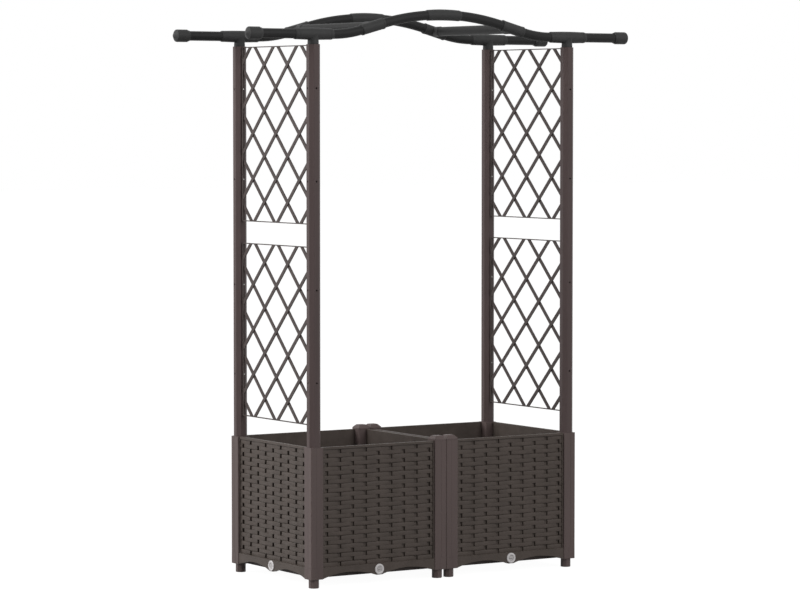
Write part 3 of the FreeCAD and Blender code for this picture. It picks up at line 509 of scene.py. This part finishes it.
def sleeveProfile(fitting, middle):  # stop, bore, mouth, ring and seam, then the sleeve itself
    half, bore, ring = fitting["half"], fitting["bore"], fitting["ring"]
    chamfer, seam = fitting["chamfer"], ring - fitting["seam"]
    ringEnd = half - fitting["ringWidth"]
    seamStart = ringEnd + fitting["seamWidth"]
    left = [(-fitting["stop"], bore), (-half, bore), (-half, fitting["mouth"]),
            (-half + chamfer * 0.6, ring - 0.35), (-half + chamfer, ring), (-seamStart, ring),
            (-seamStart, seam), (-ringEnd, seam), (-ringEnd, fitting["sleeve"])]
    right = [(-along, radius) for along, radius in reversed(left)]
    return left + middle + right


def smoothTurned(piece, angle=32):
    soften(piece, **fittingEdge)
    shadeSmooth(piece, angle)


bulge = [(x, tee["sleeve"] + (tee["middle"] - tee["sleeve"]) * (1 - (x / tee["bulgeHalf"]) ** 2))
         for x in tee["bulgeAt"]]
teeModel = merged("teeModel",
                  turned("teeSleeve", sleeveProfile(tee, bulge), (0, 0, tee["level"]), (1, 0, 0)),
                  turned("teeLeg", tee["leg"], (0, 0, 0), (0, 0, 1)))
smoothTurned(teeModel)
for arch, y in arches.items():
    for side, x in ends.items():
        piece = copyOf(teeModel, f"{arch}{side.capitalize()}Tee")
        piece.location = (x * mm, y * mm, 0)
        settle(piece)
        fit(piece, "frame", "fitting_black", f"{arch}_{side}_tee")
drop(teeModel)

elbowModel = merged("elbowModel",
                    turned("elbowSleeve", sleeveProfile(elbow, []), (0, 0, 0), (1, 0, 0)),
                    turned("elbowBoss", elbow["boss"], (0, 0, 0), (0, 1, 0)))
smoothTurned(elbowModel)
for arch, y in arches.items():
    for side, way in (("left", -1), ("right", 1)):
        piece = copyOf(elbowModel, f"{arch}{side.capitalize()}Elbow")
        piece.scale.y = 1 if y < 0 else -1  # the boss looks inwards
        settle(piece)
        piece.rotation_euler.y = math.radians(elbow["tilt"] * way)
        piece.location = (way * elbow["x"] * mm, y * mm, elbow["z"] * mm)
        settle(piece)
        cleanUp(piece)
        shadeSmooth(piece, 32)
        fit(piece, "frame", "fitting_black", f"{arch}_{side}_elbow")
drop(elbowModel)

for arch, y in arches.items():
    caps = []
    for way in (-1, 1):
        cap = turned("cap", endCap["profile"], (way * endCap["mouth"], y, tee["level"]),
                     (way, 0, 0))
        smoothTurned(cap, 25)
        caps.append(cap)
    piece = merged(f"{arch}EndCaps", *caps)
    fit(piece, "frame", "fitting_black", f"{arch}_end_caps")


def apexSleeve(name, y):  # a ring walked over the arch in small turns
    centre = Vector((0, y, apex["top"] - apex["radius"])) * mm
    sweep = apex["sweep"]
    stations = [(-sweep, apex["bore"]), (-sweep, apex["mouth"]),
                (-sweep + apex["chamfer"], apex["ring"])]
    steps = apex["halfSteps"]
    for step in range(-steps, steps + 1):
        angle = step / steps * (sweep - 2 * apex["chamfer"])
        stations.append((angle, apex["ring"] + apex["bulge"] * (1 - (step / steps) ** 2)))
    stations += [(sweep - apex["chamfer"], apex["ring"]), (sweep, apex["mouth"]),
                 (sweep, apex["bore"])]

    def spotAt(angle):
        turn = math.radians(angle)
        return centre + Vector((math.sin(turn), 0, math.cos(turn))) * apex["radius"] * mm

    angle, radius = stations[0]
    bpy.ops.object.select_all(action="DESELECT")
    bpy.ops.mesh.primitive_circle_add(vertices=48, radius=radius * mm, location=spotAt(angle),
                                      rotation=(0, math.radians(90 + angle), 0))
    piece = bpy.context.object
    piece.name = name
    settle(piece)
    bpy.ops.object.mode_set(mode="EDIT")
    bpy.ops.mesh.select_all(action="SELECT")
    for nextAngle, nextRadius in stations[1:]:
        bpy.ops.mesh.extrude_edges_move(TRANSFORM_OT_translate={"value": (0, 0, 0)})
        if nextAngle != angle:
            bpy.ops.transform.rotate(value=math.radians(angle - nextAngle), orient_axis="Y",
                                     center_override=centre)
        bpy.ops.transform.resize(value=(nextRadius / radius,) * 3,
                                 center_override=spotAt(nextAngle))
        angle, radius = nextAngle, nextRadius
    bpy.ops.object.mode_set(mode="OBJECT")
    cleanUp(piece)
    return piece


for arch, y in arches.items():
    piece = apexSleeve(f"{arch}ApexSleeve", y)
    smoothTurned(piece, 25)
    fit(piece, "frame", "fitting_black", f"{arch}_apex_sleeve")
print("fittings turned")

for node in ("front_arm_tubes", "back_arm_tubes", "front_bend_tubes", "back_bend_tubes",
             "front_crown_tubes", "back_crown_tubes", "left_cross_bar", "right_cross_bar"):
    words = node.split("_")
    piece = dressed(node, words[0] + "".join(word.capitalize() for word in words[1:]))
    shadeSmooth(piece, 40)
    fit(piece, "frame", "tube_black", node)
print("tubes smoothed")

outlet = dict(height=weave["outletHole"]["height"], face=0.1, flangeBack=2.0, radius=13.25,
              bore=8.0, tube=9.8, tubeEnd=24.5,
              web=(20, 20.5))  # closes the tube behind the stopper
stopper = dict(face=1.3, end=13.2, radius=7.95, bore=5.95,
               grip=dict(width=2.4, length=9, rise=1, root=1, edge=0.5))


def outletModel():  # a flanged ring on a tube
    o = outlet
    face, bore, wide, web = o["face"], o["bore"], o["radius"], o["web"]
    profile = ((web[0], bore), (face + 0.7, bore), (face + 0.15, bore + 0.5),
               (face, bore + 1.1), (face, wide - 1.1), (face + 0.3, wide - 0.35),
               (face + 1, wide), (o["flangeBack"], wide), (o["flangeBack"], o["tube"]),
               (o["tubeEnd"], o["tube"]), (o["tubeEnd"], bore), (web[1], bore))
    return turned("outletModel", profile, (0, weave["face"], o["height"]), (0, 1, 0))


def stopperModel():  # a hollow plug with a shallow dish, and a bar across it to pull
    y, z = weave["face"], outlet["height"]
    face, end, wide, bore = (stopper[key] for key in ("face", "end", "radius", "bore"))
    profile = ((face + 0.5, 2), (face + 0.5, 5.4), (face, 6.0), (face, 7.5), (face + 0.45, wide),
               (end, wide), (end, bore), (face + 2, bore))
    plug = turned("stopperModel", profile, (0, y, z), (0, 1, 0))
    grip = stopper["grip"]
    bar = slabOf("grip", (-grip["length"] / 2, grip["length"] / 2),
                 (y + face - grip["rise"], y + face + grip["root"]),
                 (z - grip["width"] / 2, z + grip["width"] / 2))
    soften(bar, grip["edge"])
    return merged("stopperModel", plug, bar)


ring, plug = outletModel(), stopperModel()
shadeSmooth(ring, 40)
shadeSmooth(plug, 40)
rings = []
for boxSide, middle in boxes.items():
    for side in ("front", "back", boxSide):
        for model, kind in ((ring, "Outlet"), (plug, "Stopper")):
            twin = copyOf(model, f"{boxSide}{side.capitalize()}{kind}")
            twin.rotation_euler.z = math.radians(sides[side])
            twin.location.x = middle * mm
            settle(twin)
            if model is ring:
                rings.append(twin)
            else:
                node = f"{boxSide}_box_{side}_stopper"
                fit(twin, f"{node}_body", "stopper_grey", node)
fit(merged("drainOutlets", *rings), "frame", "outlet_grey", "drain_outlets")
drop(ring, plug)
print("outlets and stoppers turned")

# the room is metres and degrees
cameraPlace = dict(spot=(-4.74473, -7.44173, 1.17654), yaw=32.4519, pitch=3.10437, lens=154.163)
lights = dict(
    left=dict(spot=(-3.9, 1.4, 2.5), aim=(0, 0, 0.7), size=3, power=185),
    front=dict(spot=(0.9, -5.0, 3.2), aim=(0, 0, 0.7), size=4.5, power=178),
)
studio = dict(worldGlow=0.17, floorTone=0.14, floorGlow=0.96, floorRough=0.9,
              floorSpecular=0.1, floorSize=80)

for name, light in lights.items():
    lampData = bpy.data.lights.new(name + "Light", "AREA")
    lampData.size = light["size"]
    lampData.energy = light["power"]
    lamp = bpy.data.objects.new(name + "Light", lampData)
    bpy.context.scene.collection.objects.link(lamp)
    lamp.location = light["spot"]
    towards = Vector(light["aim"]) - lamp.location
    lamp.rotation_euler = towards.to_track_quat("-Z", "Y").to_euler()


def seenDirectly(owner):  # 1 for the camera and for what mirrors or lets through
    path = addNode(owner, "LightPath")
    seen, output = path, "Is Camera Ray"
    for name in ("Is Glossy Ray", "Is Transmission Ray"):
        either = addNode(owner, "Math", operation="MAXIMUM")
        join(owner, seen, output, either, 0)
        join(owner, path, name, either, 1)
        seen, output = either, 0
    return seen


world = bpy.data.worlds.new("studio")
bpy.context.scene.world = world
world.use_nodes = True
world.node_tree.nodes.clear()
ambient = addNode(world, "Background", Color=(1, 1, 1, 1), Strength=studio["worldGlow"])
backdrop = addNode(world, "Background", Color=(1, 1, 1, 1))
mix = addNode(world, "MixShader")
join(world, seenDirectly(world), 0, mix, "Fac")
join(world, ambient, 0, mix, 1)
join(world, backdrop, 0, mix, 2)
join(world, mix, 0, addNode(world, "OutputWorld"), "Surface")

bpy.ops.object.select_all(action="DESELECT")
bpy.ops.mesh.primitive_plane_add(size=studio["floorSize"])
floor = bpy.context.object
floor.name = "floor"
paleFloor = bpy.data.materials.new("paleFloor")
paleFloor.use_nodes = True
surface = paleFloor.node_tree.nodes["Principled BSDF"]
surface.inputs["Base Color"].default_value = (studio["floorTone"],) * 3 + (1,)
surface.inputs["Roughness"].default_value = studio["floorRough"]
surface.inputs["Specular IOR Level"].default_value = studio["floorSpecular"]
glow = addNode(paleFloor, "Emission", Color=(1, 1, 1, 1))
share = addNode(paleFloor, "Math", operation="MULTIPLY")
share.inputs[1].default_value = studio["floorGlow"]
both = addNode(paleFloor, "AddShader")
join(paleFloor, seenDirectly(paleFloor), 0, share, 0)
join(paleFloor, share, 0, glow, "Strength")
join(paleFloor, surface, 0, both, 0)
join(paleFloor, glow, 0, both, 1)
join(paleFloor, both, 0, paleFloor.node_tree.nodes["Material Output"], "Surface")
floor.data.materials.append(paleFloor)

cameraData = bpy.data.cameras.new("camera")
cameraData.lens = cameraPlace["lens"]
cameraData.sensor_width = 36
cameraData.clip_end = 100
camera = bpy.data.objects.new("camera", cameraData)
bpy.context.scene.collection.objects.link(camera)
camera.location = cameraPlace["spot"]
camera.rotation_euler = (math.radians(90 - cameraPlace["pitch"]), 0,
                         math.radians(-cameraPlace["yaw"]))
bpy.context.scene.camera = camera
bpy.context.scene.view_settings.view_transform = "Standard"
print("room, light and camera set")
